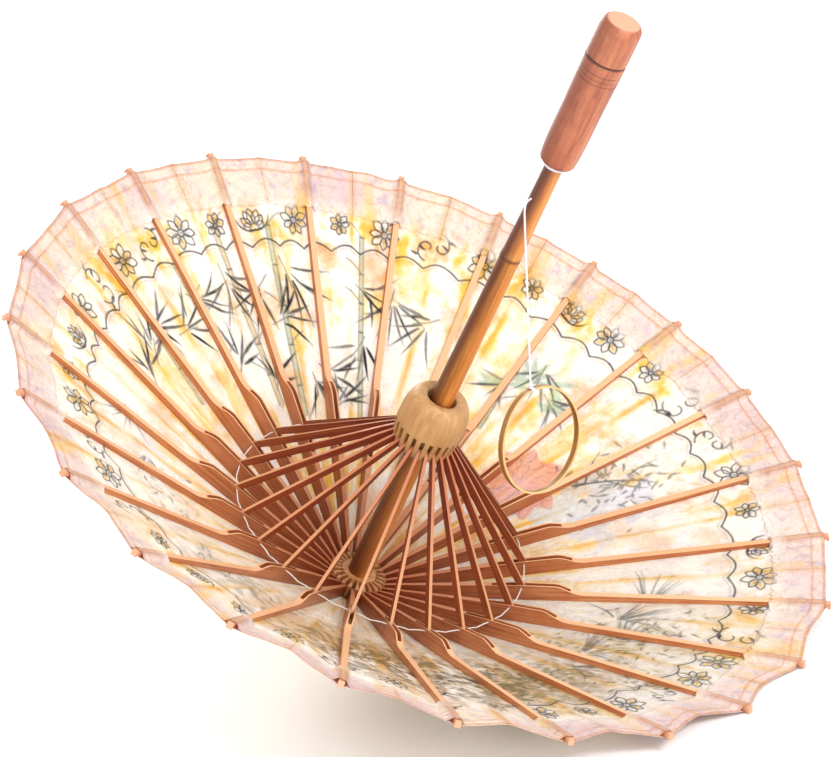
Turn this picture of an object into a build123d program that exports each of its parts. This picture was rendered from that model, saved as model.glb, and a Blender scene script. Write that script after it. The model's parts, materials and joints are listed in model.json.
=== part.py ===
"""Oil paper umbrella, open and lying on its canopy.

Every piece is drawn in the umbrella's own frame: the shaft is the Z axis, +Z points from the hub
to the handle, and +X is the side that the umbrella leans to. The last section lays the finished
pieces down, so that the shaft's tip and the hem's lowest panel rest on the floor at Z = 0.
Millimetres and degrees.
"""
from build123d import *
import os
from math import asin, atan2, cos, degrees, hypot, radians, sin, sqrt, tan

# --- driving dimensions ---------------------------------------------------------------------
RIBS = 24
PITCH = 360 / RIBS

# canopy: a shallow cone of oiled paper
CANOPY_RADIUS = 300         # shaft axis to the paper's cusp at a rib
SLOPE = 26.8                # rise of the paper from the crown to the rim
RIM_HEIGHT = 134.6          # the paper's rim above the hub
SCALLOP = 3.5               # how far the rim draws in between two ribs
PAPER = 0.6                 # thickness of the oiled paper and its glue
CROWN_HOLE = 9.2            # radius of the hole for the shaft

# ribs: bamboo strips on edge, deep as far as the knee and slim beyond it
HINGE_RADIUS = 16           # circle of thread on which the ribs turn
HINGE_DEPTH = 5.8           # hinge thread above the paper
PAPER_GAP = 0.6             # rib's outer edge above the middle of the paper
KNEE_RADIUS = 106.8         # circle of thread on which the stretchers meet the ribs
KNEE_DEPTH = 10.0           # knee thread above the paper
HEEL = 3.0                  # radius of the rib's rounded end
RIB_DEPTH_KNEE = 12.2
RIB_DEPTH_SLIM = 5.2
RIB_DEPTH_TIP = 3.4
STEP_START, STEP_END = 22, 44    # the curved step, past the knee
RIB_WIDTH_HUB = 2.0
RIB_WIDTH_KNEE = 4.9
RIB_WIDTH_TIP = 4.2
TIP_OVERHANG = 3.0          # how far the rib's end stands out past the paper
TIP_DROP = 1.1              # how far that end stands proud of the paper's outside
HEM_WIDTH = 37.0            # the strip of paper around the rim
RIB_SLOT = 2.8
SLOT_BACK, SLOT_FRONT = 21.5, 34    # length of the rib's slot each side of the knee
CLOSED_SLOPE = 84           # the paper line's rise when the umbrella is shut

# stretchers
RUNNER_HINGE_RADIUS = 19
RUNNER_HINGE_HEIGHT = 130.5
STRETCHER_WIDTH = 2.2
STRETCHER_DEPTH = 5.2
STRETCHER_END = 2.3         # radius of both rounded ends

# threads
THREAD = 0.9
THREAD_HOLE = 1.7

# hub and runner
HUB_RADIUS = 20.5
HUB_CORE = 12.4
HUB_TOP = 5.5
HUB_SLOT = 2.75
RUNNER_BORE = 8.75
RUNNER_MOUTH = 10.3
RUNNER_RADIUS = 23.6
RUNNER_FOOT_RADIUS = 21.6
RUNNER_BOTTOM, RUNNER_SLOT_TOP, RUNNER_TOP = 125.5, 141, 166.5
RUNNER_SLOT = 2.8
RUNNER_SLOT_FLOOR = 15.4

# shaft and grip
SHAFT_RADIUS = 8.25
SHAFT_NECK = 6.5            # radius just under the grip
TIP_RADIUS = 5.5
SHAFT_TIP = -20.5
SHAFT_SHOULDER = -13.2      # where the slim tip meets the full shaft
NODE_HEIGHT = 290           # the culm's joint
TANG_RADIUS, TANG_LENGTH = 5.6, 62
GRIP_BOTTOM, GRIP_TOP = 370.3, 485.6
GRIP_RADIUS = 14.25
GRIP_NECK = 12.4
GROOVE_HEIGHT = 455.5
GLUE_GAP = 0.05

# closing ring and its string
STRING = 1.3
STRING_EXIT_HEIGHT = 340    # where the string comes out of the shaft
STRING_EXIT_SIDE = -110     # and on which side of it, seen from above
STRING_BEND_OUT = 6.2       # how far out it bends down
RING_WIDTH = 5.0
RING_THICKNESS = 1.4
RING_SIDE = 35              # reach of the ring each side of its middle
RING_UP, RING_DOWN = 39, 37.5    # reach above and below its middle
RING_TURN = -18             # direction that the ring's axis points in, seen from above
RING_HANG = 9               # the lapped joint's weight swings the ring this far off plumb
KNOT_RADIUS = 1.7
STRING_DROP = 132           # string's exit to the ring's outer face

# --- positions worked out from them ------------------------------------------------------------
slope_sin, slope_cos, slope_tan = sin(radians(SLOPE)), cos(radians(SLOPE)), tan(radians(SLOPE))


def paper_height(radius):
    """Height of the paper's middle surface at a distance from the shaft's axis."""
    return RIM_HEIGHT + (radius - CANOPY_RADIUS) * slope_tan


def above_paper(radius, depth):
    """Height at a distance from the axis, for a point that lies depth above the paper."""
    return paper_height(radius) + depth / slope_cos


hinge = (HINGE_RADIUS, above_paper(HINGE_RADIUS, HINGE_DEPTH))
knee = (KNEE_RADIUS, above_paper(KNEE_RADIUS, KNEE_DEPTH))
runner_hinge = (RUNNER_HINGE_RADIUS, RUNNER_HINGE_HEIGHT)

# the rib's own plane: x along the rib from the foot of its hinge, y above the paper
rib_foot = (hinge[0] + HINGE_DEPTH * slope_sin, hinge[1] - HINGE_DEPTH * slope_cos)
rib_side = Plane(
    origin=(rib_foot[0], 0, rib_foot[1]), x_dir=(slope_cos, 0, slope_sin), z_dir=(0, -1, 0)
)
rib_flat = Plane(
    origin=(rib_foot[0], 0, rib_foot[1]),
    x_dir=(slope_cos, 0, slope_sin),
    z_dir=(-slope_sin, 0, slope_cos),
)
knee_along = (knee[0] - hinge[0]) * slope_cos + (knee[1] - hinge[1]) * slope_sin
paper_along = (CANOPY_RADIUS - rib_foot[0]) / slope_cos
rib_length = paper_along + TIP_OVERHANG

# the linkage, open and shut: one stretcher and one rib in their common radial plane
rib_turn = CLOSED_SLOPE - SLOPE
knee_arm = hypot(knee[0] - hinge[0], knee[1] - hinge[1])
knee_open_angle = atan2(knee[1] - hinge[1], knee[0] - hinge[0])
knee_shut_angle = knee_open_angle + radians(rib_turn)
knee_shut = (hinge[0] + knee_arm * cos(knee_shut_angle), hinge[1] + knee_arm * sin(knee_shut_angle))
stretcher_length = hypot(knee[0] - runner_hinge[0], knee[1] - runner_hinge[1])
shut_offset = knee_shut[0] - runner_hinge[0]
runner_travel = knee_shut[1] + sqrt(stretcher_length**2 - shut_offset**2) - runner_hinge[1]
stretcher_open_angle = degrees(atan2(knee[1] - runner_hinge[1], knee[0] - runner_hinge[0]))
stretcher_turn = 90 - degrees(asin(shut_offset / stretcher_length)) + stretcher_open_angle

# the lean: the line from the shaft's tip to the middle of the hem's lowest panel lies on the floor
hem_reach = CANOPY_RADIUS - SCALLOP
LEAN = degrees(
    atan2(above_paper(hem_reach, -PAPER / 2) - SHAFT_TIP, hem_reach - TIP_RADIUS)
)
lean_sin, lean_cos = sin(radians(LEAN)), cos(radians(LEAN))


def rib_azimuth(number):
    """Ribs are numbered round the shaft; the first and the last stand on the floor."""
    return PITCH * (number - 0.5)


os.makedirs("parts", exist_ok=True)
pieces = {}

# --- shaft ---------------------------------------------------------------------------------------
with BuildPart() as shaft:
    with BuildSketch(Plane.XZ):
        with BuildLine():
            Polyline(
                (0, GRIP_BOTTOM + TANG_LENGTH),
                (0, SHAFT_TIP),
                (TIP_RADIUS, SHAFT_TIP),
                (TIP_RADIUS + 0.6, SHAFT_TIP + 1.2),
                (TIP_RADIUS + 0.6, SHAFT_SHOULDER),
                (SHAFT_RADIUS, SHAFT_SHOULDER),
                (SHAFT_RADIUS, RUNNER_BOTTOM),
                (SHAFT_RADIUS - 1.1, NODE_HEIGHT - 6),
                (SHAFT_RADIUS - 0.7, NODE_HEIGHT - 1),
                (SHAFT_RADIUS - 0.7, NODE_HEIGHT + 1),
                (SHAFT_RADIUS - 1.2, NODE_HEIGHT + 6),
                (SHAFT_NECK, GRIP_BOTTOM - 6),
                (SHAFT_NECK, GRIP_BOTTOM),
                (TANG_RADIUS, GRIP_BOTTOM),
                (TANG_RADIUS, GRIP_BOTTOM + TANG_LENGTH),
                (0, GRIP_BOTTOM + TANG_LENGTH),
            )
        make_face()
    revolve(axis=Axis.Z)
    # the cross hole that the ring's string is threaded through
    with Locations(Location((0, 0, STRING_EXIT_HEIGHT), (0, 90, STRING_EXIT_SIDE))):
        Cylinder(STRING / 2 + 0.3, 4 * SHAFT_RADIUS, mode=Mode.SUBTRACT)
pieces["shaft"] = shaft

# --- grip ----------------------------------------------------------------------------------------
with BuildPart() as grip:
    with BuildSketch(Plane.XZ):
        with BuildLine():
            Line((0, GRIP_BOTTOM), (GRIP_NECK - 2.5, GRIP_BOTTOM))
            RadiusArc((GRIP_NECK - 2.5, GRIP_BOTTOM), (GRIP_NECK, GRIP_BOTTOM + 2.5), -2.5)
            Spline(
                (GRIP_NECK, GRIP_BOTTOM + 2.5),
                (GRIP_RADIUS - 0.7, GRIP_BOTTOM + 40),
                (GRIP_RADIUS, GROOVE_HEIGHT - 2),
                tangents=[(0.12, 1), (0, 1)],
            )
            Line((GRIP_RADIUS, GROOVE_HEIGHT - 2), (GRIP_RADIUS, GRIP_TOP - 6))
            RadiusArc((GRIP_RADIUS, GRIP_TOP - 6), (GRIP_RADIUS - 6, GRIP_TOP), -6)
            Polyline((GRIP_RADIUS - 6, GRIP_TOP), (0, GRIP_TOP), (0, GRIP_BOTTOM))
        make_face()
    revolve(axis=Axis.Z)
    with Locations((0, 0, GRIP_BOTTOM)):
        Cylinder(
            TANG_RADIUS + GLUE_GAP,
            TANG_LENGTH + 1,
            align=(Align.CENTER, Align.CENTER, Align.MIN),
            mode=Mode.SUBTRACT,
        )
    # one deep turned groove and three fine lines below it
    for height, depth in ((GROOVE_HEIGHT, 1.1), (448, 0.45), (444.5, 0.45), (441, 0.45)):
        with Locations((0, 0, height)):
            Torus(GRIP_RADIUS + 0.3, depth + 0.3, mode=Mode.SUBTRACT)
pieces["grip"] = grip

# --- hub -----------------------------------------------------------------------------------------
hub_bottom_gap = 0.9        # hub's underside above the paper
with BuildPart() as hub:
    with BuildSketch(Plane.XZ):
        with BuildLine():
            Polyline(
                (SHAFT_RADIUS + GLUE_GAP, above_paper(SHAFT_RADIUS, hub_bottom_gap)),
                (HUB_RADIUS, above_paper(HUB_RADIUS, hub_bottom_gap)),
                (HUB_RADIUS, HUB_TOP - 1.5),
                (HUB_RADIUS - 1.5, HUB_TOP),
                (SHAFT_RADIUS + GLUE_GAP, HUB_TOP),
                (SHAFT_RADIUS + GLUE_GAP, above_paper(SHAFT_RADIUS, hub_bottom_gap)),
            )
        make_face()
    revolve(axis=Axis.Z)
    with PolarLocations(HUB_CORE, RIBS, start_angle=PITCH / 2):
        Box(
            HUB_RADIUS,
            HUB_SLOT,
            60,
            align=(Align.MIN, Align.CENTER, Align.CENTER),
            mode=Mode.SUBTRACT,
        )
    with Locations((0, 0, hinge[1])):
        Torus(HINGE_RADIUS, THREAD / 2 + 0.1, mode=Mode.SUBTRACT)
pieces["hub"] = hub

# --- runner --------------------------------------------------------------------------------------
with BuildPart() as runner:
    with BuildSketch(Plane.XZ):
        with BuildLine():
            Polyline(
                (RUNNER_MOUTH, RUNNER_TOP - 2.5),
                (RUNNER_BORE, RUNNER_TOP - 12),
                (RUNNER_BORE, RUNNER_BOTTOM),
                (RUNNER_FOOT_RADIUS, RUNNER_BOTTOM),
                (RUNNER_RADIUS, RUNNER_SLOT_TOP - 2),
                (RUNNER_RADIUS, RUNNER_TOP - 18),
            )
            Bezier(
                (RUNNER_RADIUS, RUNNER_TOP - 18),
                (RUNNER_RADIUS, RUNNER_TOP - 8),
                (RUNNER_RADIUS - 4.2, RUNNER_TOP),
                (RUNNER_MOUTH + 5.5, RUNNER_TOP),
            )
            Bezier(
                (RUNNER_MOUTH + 5.5, RUNNER_TOP),
                (RUNNER_MOUTH + 2.5, RUNNER_TOP),
                (RUNNER_MOUTH, RUNNER_TOP - 0.8),
                (RUNNER_MOUTH, RUNNER_TOP - 2.5),
            )
        make_face()
    revolve(axis=Axis.Z)
    with Locations((0, 0, RUNNER_BOTTOM - 1)):
        with PolarLocations(RUNNER_SLOT_FLOOR, RIBS, start_angle=PITCH / 2):
            Box(
                RUNNER_RADIUS,
                RUNNER_SLOT,
                RUNNER_SLOT_TOP - RUNNER_BOTTOM + 1,
                align=(Align.MIN, Align.CENTER, Align.MIN),
                mode=Mode.SUBTRACT,
            )
    with Locations((0, 0, RUNNER_HINGE_HEIGHT)):
        Torus(RUNNER_HINGE_RADIUS, THREAD / 2 + 0.1, mode=Mode.SUBTRACT)
pieces["runner"] = runner

# --- the three hinge threads --------------------------------------------------------------------
threads = {"hub_thread": hinge, "runner_thread": runner_hinge, "knee_thread": knee}
for name, (radius, height) in threads.items():
    with BuildPart() as thread:
        with Locations((0, 0, height)):
            Torus(radius, THREAD / 2)
    pieces[name] = thread

# --- crown cap: lacquered cap over the gathered paper, round the shaft's tip -------------------
CAP_RADIUS = 27
cap_bore = TIP_RADIUS + 0.6 + GLUE_GAP
with BuildPart() as crown_cap:
    with BuildSketch(Plane.XZ):
        with BuildLine():
            Polyline(
                (cap_bore, above_paper(cap_bore, -0.7)),
                (CAP_RADIUS, above_paper(CAP_RADIUS, -0.7)),
                (CAP_RADIUS, above_paper(CAP_RADIUS, -1.6)),
                (cap_bore + 4, above_paper(cap_bore + 4, -2.2)),
                (cap_bore, above_paper(cap_bore, -2.6)),
                (cap_bore, above_paper(cap_bore, -0.7)),
            )
        make_face()
    revolve(axis=Axis.Z)
pieces["crown_cap"] = crown_cap

# --- canopy and hem: the sheet of paper as a thin cone, and the strip around its scalloped rim ----
def paper_band(inner, outer):
    """The paper between two distances from the shaft's axis."""
    with BuildPart() as band:
        with BuildSketch(Plane.XZ):
            with BuildLine():
                Polyline(
                    (inner, above_paper(inner, -PAPER / 2)),
                    (outer, above_paper(outer, -PAPER / 2)),
                    (outer, above_paper(outer, PAPER / 2)),
                    (inner, above_paper(inner, PAPER / 2)),
                    close=True,
                )
            make_face()
        revolve(axis=Axis.Z)
    return band


pieces["canopy"] = paper_band(CROWN_HOLE, CANOPY_RADIUS - HEM_WIDTH)

rim_corners = []
for half_step in range(2 * RIBS):
    reach = CANOPY_RADIUS - (SCALLOP if half_step % 2 else 0)
    angle = radians(PITCH / 2 * (half_step + 1))
    rim_corners.append((reach * cos(angle), reach * sin(angle)))
with BuildPart() as canopy_hem:
    add(paper_band(CANOPY_RADIUS - HEM_WIDTH, CANOPY_RADIUS + 5))
    with BuildSketch():
        with BuildLine():
            Polyline(*rim_corners, close=True)
        make_face()
    extrude(amount=2 * RIM_HEIGHT, both=True, mode=Mode.INTERSECT)
pieces["canopy_hem"] = canopy_hem

# --- one rib, then its copies ---------------------------------------------------------------------
step_start = (knee_along + STEP_START, RIB_DEPTH_KNEE - 0.4)
step_end = (knee_along + STEP_END, RIB_DEPTH_SLIM)
with BuildPart() as rib:
    with BuildSketch(rib_side):
        with BuildLine():
            CenterArc((0, HINGE_DEPTH), HEEL, 90, 180)
            Polyline(
                (0, HINGE_DEPTH - HEEL),
                (2 * HEEL, PAPER_GAP),
                (paper_along + 0.6, PAPER_GAP),
                (paper_along + 1.4, -TIP_DROP),
                (rib_length, -TIP_DROP),
                (rib_length, RIB_DEPTH_TIP - 0.4),
                (rib_length - 0.8, RIB_DEPTH_TIP),
                step_end,
            )
            Bezier(
                step_end,
                (step_end[0] - 10, step_end[1] + 0.2),
                (step_start[0] + 8, step_start[1]),
                step_start,
            )
            Polyline(
                step_start,
                (knee_along, RIB_DEPTH_KNEE),
                (knee_along / 2, RIB_DEPTH_KNEE - 1.6),
                (0, HINGE_DEPTH + HEEL),
            )
        make_face()
    extrude(amount=RIB_WIDTH_KNEE / 2, both=True)
    with BuildSketch(rib_flat):
        with BuildLine():
            Polyline(
                (-2 * HEEL, -RIB_WIDTH_HUB / 2),
                (0, -RIB_WIDTH_HUB / 2),
                (knee_along, -RIB_WIDTH_KNEE / 2),
                (knee_along + STEP_START, -RIB_WIDTH_KNEE / 2),
                (rib_length + 1, -RIB_WIDTH_TIP / 2),
                (rib_length + 1, RIB_WIDTH_TIP / 2),
                (knee_along + STEP_START, RIB_WIDTH_KNEE / 2),
                (knee_along, RIB_WIDTH_KNEE / 2),
                (0, RIB_WIDTH_HUB / 2),
                (-2 * HEEL, RIB_WIDTH_HUB / 2),
                close=True,
            )
        make_face()
    extrude(amount=3 * RIB_DEPTH_KNEE, both=True, mode=Mode.INTERSECT)
    # the slot that the stretcher's end works in: right through behind the knee, shallow before it
    with BuildSketch(rib_side):
        with BuildLine():
            Polyline(
                (knee_along - SLOT_BACK, -PAPER),
                (knee_along - 1, -PAPER),
                (knee_along + 6, KNEE_DEPTH - 4),
                (knee_along + SLOT_FRONT, KNEE_DEPTH - 4),
                (knee_along + SLOT_FRONT, 2 * RIB_DEPTH_KNEE),
                (knee_along - SLOT_BACK, 2 * RIB_DEPTH_KNEE),
                close=True,
            )
        make_face()
    extrude(amount=RIB_SLOT / 2, both=True, mode=Mode.SUBTRACT)
    with BuildSketch(rib_side):
        with Locations((0, HINGE_DEPTH), (knee_along, KNEE_DEPTH)):
            Circle(THREAD_HOLE / 2)
    extrude(amount=RIB_WIDTH_KNEE, both=True, mode=Mode.SUBTRACT)

# --- one stretcher, then its copies ---------------------------------------------------------------
stretcher_side = Plane(
    origin=(runner_hinge[0], 0, runner_hinge[1]),
    x_dir=(cos(radians(stretcher_open_angle)), 0, sin(radians(stretcher_open_angle))),
    z_dir=(0, -1, 0),
)
with BuildPart() as stretcher:
    with BuildSketch(stretcher_side):
        with BuildLine():
            CenterArc((0, 0), STRETCHER_END, 90, 180)
            Polyline(
                (0, -STRETCHER_END),
                (12, -STRETCHER_DEPTH / 2),
                (stretcher_length - 12, -STRETCHER_DEPTH / 2),
                (stretcher_length, -STRETCHER_END),
            )
            CenterArc((stretcher_length, 0), STRETCHER_END, -90, 180)
            Polyline(
                (stretcher_length, STRETCHER_END),
                (stretcher_length - 12, STRETCHER_DEPTH / 2),
                (12, STRETCHER_DEPTH / 2),
                (0, STRETCHER_END),
            )
        make_face()
        with Locations((0, 0), (stretcher_length, 0)):
            Circle(THREAD_HOLE / 2, mode=Mode.SUBTRACT)
    extrude(amount=STRETCHER_WIDTH / 2, both=True)

# --- laying the umbrella down -----------------------------------------------------------------------
# The leaned umbrella's lowest points go to Z = 0 and the middle of its outline to the Z axis.
leaned = Rotation(0, LEAN, 0)


def lean(x, y, z):
    """A point of the umbrella's own frame, turned by the lean about the hub."""
    return (x * lean_cos + z * lean_sin, y, -x * lean_sin + z * lean_cos)


outline = [lean(0, 0, SHAFT_TIP)]
rib_ends = [
    (rib_length, -TIP_DROP),
    (rib_length, RIB_DEPTH_TIP - 0.4),
    (rib_length - 0.8, RIB_DEPTH_TIP),
]
for number in range(1, RIBS + 1):
    angle = radians(rib_azimuth(number))
    for along, depth in rib_ends:
        radius = rib_foot[0] + along * slope_cos - depth * slope_sin
        height = rib_foot[1] + along * slope_sin + depth * slope_cos
        for side in (-RIB_WIDTH_TIP / 2, RIB_WIDTH_TIP / 2):
            x = radius * cos(angle) - side * sin(angle)
            y = radius * sin(angle) + side * cos(angle)
            outline.append(lean(x, y, height))
floor_height = lean(TIP_RADIUS, 0, SHAFT_TIP)[2]
middle_x = (min(p[0] for p in outline) + max(p[0] for p in outline)) / 2
lay_down = Location((-middle_x, 0, -floor_height)) * leaned


def laid(x, y, z):
    """A point of the umbrella's own frame, in the frame of the finished model."""
    x, y, z = lean(x, y, z)
    return Vector(x - middle_x, y, z - floor_height)


# --- closing ring and its string: they hang plumb, so they are drawn in the laid-down frame -------
exit_angle = radians(STRING_EXIT_SIDE)
neck_share = (STRING_EXIT_HEIGHT - NODE_HEIGHT) / (GRIP_BOTTOM - NODE_HEIGHT)
exit_radius = SHAFT_RADIUS - 1.2 - neck_share * (SHAFT_RADIUS - 1.2 - SHAFT_NECK) + 0.3
string_exit = laid(exit_radius * cos(exit_angle), exit_radius * sin(exit_angle), STRING_EXIT_HEIGHT)
outward = Vector(cos(exit_angle), sin(exit_angle), 0)
down = Vector(0, 0, -1)
ring_top = string_exit + outward * STRING_BEND_OUT + down * STRING_DROP
knot = ring_top - down * (KNOT_RADIUS + 0.4)
# straight out of the shaft, over a small bend, then plumb under the ring's weight
string_route = [
    string_exit,
    string_exit + outward * 3.4 + down * 0.7,
    string_exit + outward * 5.5 + down * 3.4,
    string_exit + outward * STRING_BEND_OUT + down * 8.4,
    knot,
]


def corner_radii(route):
    """The largest bends that the runs of a route allow."""
    radii = []
    for before, corner, after in zip(route, route[1:], route[2:]):
        turn = (corner - before).get_angle(after - corner)
        shorter = min((corner - before).length, (after - corner).length)
        radii.append(0.45 * shorter / tan(radians(turn) / 2))
    return radii


string_radii = corner_radii(string_route)
print("string bends, mm:", [round(radius, 1) for radius in string_radii])
with BuildPart() as ring_cord:
    with BuildLine() as string_path:
        FilletPolyline(*string_route, radius=string_radii)
    with BuildSketch(Plane(origin=string_path.line @ 0, z_dir=string_path.line % 0)):
        Circle(STRING / 2)
    sweep()
    with Locations(knot):
        Sphere(KNOT_RADIUS)
print("string length, mm:", round(string_path.wire().length, 1))

# the ring's plane: x level across the ring, y up it, turned by the hang about its top
ring_axis = Vector(cos(radians(RING_TURN)), sin(radians(RING_TURN)), 0)
ring_across = Vector(-sin(radians(RING_TURN)), cos(radians(RING_TURN)), 0)
hang = radians(RING_HANG)
ring_x = ring_across * cos(hang) - down * sin(hang)
ring_plane = Plane(origin=ring_top, x_dir=ring_x, z_dir=ring_axis)


def ring_outline(inset):
    """Points round the ring's egg-shaped outline, drawn in by an inset."""
    side, up, down_reach = RING_SIDE - inset, RING_UP - inset, RING_DOWN - inset
    return [
        (0, up - RING_UP),
        (side * 0.80, up * 0.58 - RING_UP),
        (side, -RING_UP),
        (side * 0.71, -RING_UP - down_reach * 0.71),
        (0, -RING_UP - down_reach),
        (-side * 0.71, -RING_UP - down_reach * 0.71),
        (-side, -RING_UP),
        (-side * 0.80, up * 0.58 - RING_UP),
    ]


with BuildPart() as closing_ring:
    with BuildSketch(ring_plane):
        with BuildLine():
            Spline(*ring_outline(0), periodic=True)
        make_face()
        with BuildLine():
            Spline(*ring_outline(RING_THICKNESS), periodic=True)
        make_face(mode=Mode.SUBTRACT)
    extrude(amount=RING_WIDTH / 2, both=True)

# --- writing the pieces ------------------------------------------------------------------------------
for name, piece in pieces.items():
    placed = lay_down * piece.part
    placed.label = name
    export_step(placed, f"parts/{name}.step")

for name, piece in (("rib", rib), ("stretcher", stretcher)):
    for number in range(1, RIBS + 1):
        placed = lay_down * Rotation(0, 0, rib_azimuth(number)) * piece.part
        placed.label = f"{name}_{number:02d}"
        export_step(placed, f"parts/{placed.label}.step")

ring_cord.part.label = "ring_cord"
export_step(ring_cord.part, "parts/ring_cord.step")
closing_ring.part.label = "closing_ring"
export_step(closing_ring.part, "parts/closing_ring.step")
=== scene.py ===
import json
from math import atan2, cos, pi, radians, sin, tan

import bpy
import numpy as np
from mathutils import Matrix, Quaternion, Vector


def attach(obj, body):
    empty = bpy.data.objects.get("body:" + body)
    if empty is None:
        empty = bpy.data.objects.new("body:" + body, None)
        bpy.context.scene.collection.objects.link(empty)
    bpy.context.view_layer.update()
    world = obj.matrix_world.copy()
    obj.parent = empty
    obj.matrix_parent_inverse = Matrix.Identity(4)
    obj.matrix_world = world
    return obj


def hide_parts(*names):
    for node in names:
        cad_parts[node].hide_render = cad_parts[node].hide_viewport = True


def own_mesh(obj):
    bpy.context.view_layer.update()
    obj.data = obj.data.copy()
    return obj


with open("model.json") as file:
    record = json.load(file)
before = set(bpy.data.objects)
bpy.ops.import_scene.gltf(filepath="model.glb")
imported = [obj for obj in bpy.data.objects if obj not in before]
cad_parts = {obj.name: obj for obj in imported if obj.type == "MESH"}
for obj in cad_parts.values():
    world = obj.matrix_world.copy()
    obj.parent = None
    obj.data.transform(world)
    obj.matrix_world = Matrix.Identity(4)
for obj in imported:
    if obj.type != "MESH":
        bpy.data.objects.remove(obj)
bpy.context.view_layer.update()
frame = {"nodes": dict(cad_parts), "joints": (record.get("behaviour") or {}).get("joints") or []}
nodes = frame["nodes"]
joints = {joint["name"]: joint for joint in frame["joints"]}
rng = np.random.default_rng(24)

# --- the umbrella's own frame, in metres: Z along the shaft, X to the side it leans to ---
RIBS = 24
PITCH = radians(15)
RIM = 0.300                 # shaft axis to the paper's edge at a rib
SLOPE = radians(26.8)
RIM_HEIGHT = 0.1346
HINGE_HEIGHT = -0.00236     # the ribs' hinges along the shaft
KNEE_RADIUS, KNEE_HEIGHT = 0.1068, 0.0482
CROWN = 0.0185              # the gores start under the hub, clear of the cap when they fold
HEM_FROM = 0.266            # inner edge of the hem strip
PAPER, HEM = 0.0004, 0.0003     # thickness of the paper and of the hem strip
SHAFT_SCAR_HEIGHT = 0.290
RING_AZIMUTH = radians(-18) # where the closing ring's own axis points

axis = Vector(joints["runner_slide"]["axis"])
LEAN = atan2(axis.x, axis.z)
hinges = [Vector(joints[f"rib_hinge_{n:02d}"]["pos_m"]) for n in range(1, RIBS + 1)]
UMBRELLA_AT = sum(hinges, Vector()) / RIBS - axis * HINGE_HEIGHT
to_row = Matrix.Translation(UMBRELLA_AT) @ Matrix.Rotation(LEAN, 4, "Y")
turn_to_row = np.array(to_row.to_3x3())


def place(points):
    """Points of the umbrella's own frame, as an array in the row frame."""
    return np.asarray(points, float) @ turn_to_row.T + np.array(UMBRELLA_AT)


def rib_azimuth(number):
    return PITCH * (number - 0.5)


def paper_height(radius):
    return RIM_HEIGHT + (radius - RIM) * tan(SLOPE)


def srgb(red, green, blue):
    """A colour given in 0 to 255, as linear light."""
    return tuple((c / 255) ** 2.2 for c in (red, green, blue)) + (1.0,)


def add_object(name, data):
    made = bpy.data.objects.new(name, data)
    bpy.context.scene.collection.objects.link(made)
    return made


# --- camera ---
AIM = Vector((0.007, -0.017, 0.186))
AZIMUTH, ELEVATION, ROLL = radians(32.1), radians(20.9), radians(-2.6)
DISTANCE, LENS = 3.0, 190.7
camera_data = bpy.data.cameras.new("camera")
camera_data.sensor_width = 36
camera_data.lens = LENS
camera_data.clip_end = 30
camera = add_object("camera", camera_data)
back = Vector((sin(AZIMUTH) * cos(ELEVATION), -cos(AZIMUTH) * cos(ELEVATION), sin(ELEVATION)))
camera.rotation_mode = "QUATERNION"
camera.location = AIM + back * DISTANCE
camera.rotation_quaternion = (-back).to_track_quat("-Z", "Y") @ Quaternion((0, 0, 1), ROLL)
bpy.context.scene.camera = camera


# --- mesh helpers ---
def mesh_object(name, points, faces):
    mesh = bpy.data.meshes.new(name)
    mesh.from_pydata([tuple(p) for p in points], [], faces)
    mesh.validate()
    mesh.polygons.foreach_set("use_smooth", [True] * len(mesh.polygons))
    mesh.update()
    return add_object(name, mesh)


def grid_sheet(name, middle, normal, thickness):
    """A closed thin sheet round a grid of points, rows by columns, with its own normals."""
    rows, columns = middle.shape[:2]
    top = middle + normal * thickness / 2
    bottom = middle - normal * thickness / 2
    points = np.concatenate([top.reshape(-1, 3), bottom.reshape(-1, 3)])
    index = np.arange(rows * columns).reshape(rows, columns)
    a, b, c, d = index[:-1, :-1], index[:-1, 1:], index[1:, 1:], index[1:, :-1]
    upper = np.stack([a, b, c, d], -1).reshape(-1, 4)
    lower = upper[:, ::-1] + rows * columns
    walls = []
    for line in (index[0], index[-1][::-1], index[:, 0][::-1], index[:, -1]):
        under = line + rows * columns
        walls.append(np.stack([line[1:], line[:-1], under[:-1], under[1:]], -1))
    faces = np.concatenate([upper, lower, *walls])
    mesh = bpy.data.meshes.new(name)
    mesh.vertices.add(len(points))
    mesh.vertices.foreach_set("co", points.astype(np.float32).ravel())
    mesh.loops.add(faces.size)
    mesh.loops.foreach_set("vertex_index", faces.astype(np.int32).ravel())
    mesh.polygons.add(len(faces))
    mesh.polygons.foreach_set("loop_start", np.arange(0, faces.size, 4, dtype=np.int32))
    mesh.polygons.foreach_set("use_smooth", np.ones(len(faces), bool))
    mesh.update(calc_edges=True)
    mesh.validate()
    return add_object(name, mesh)


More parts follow.
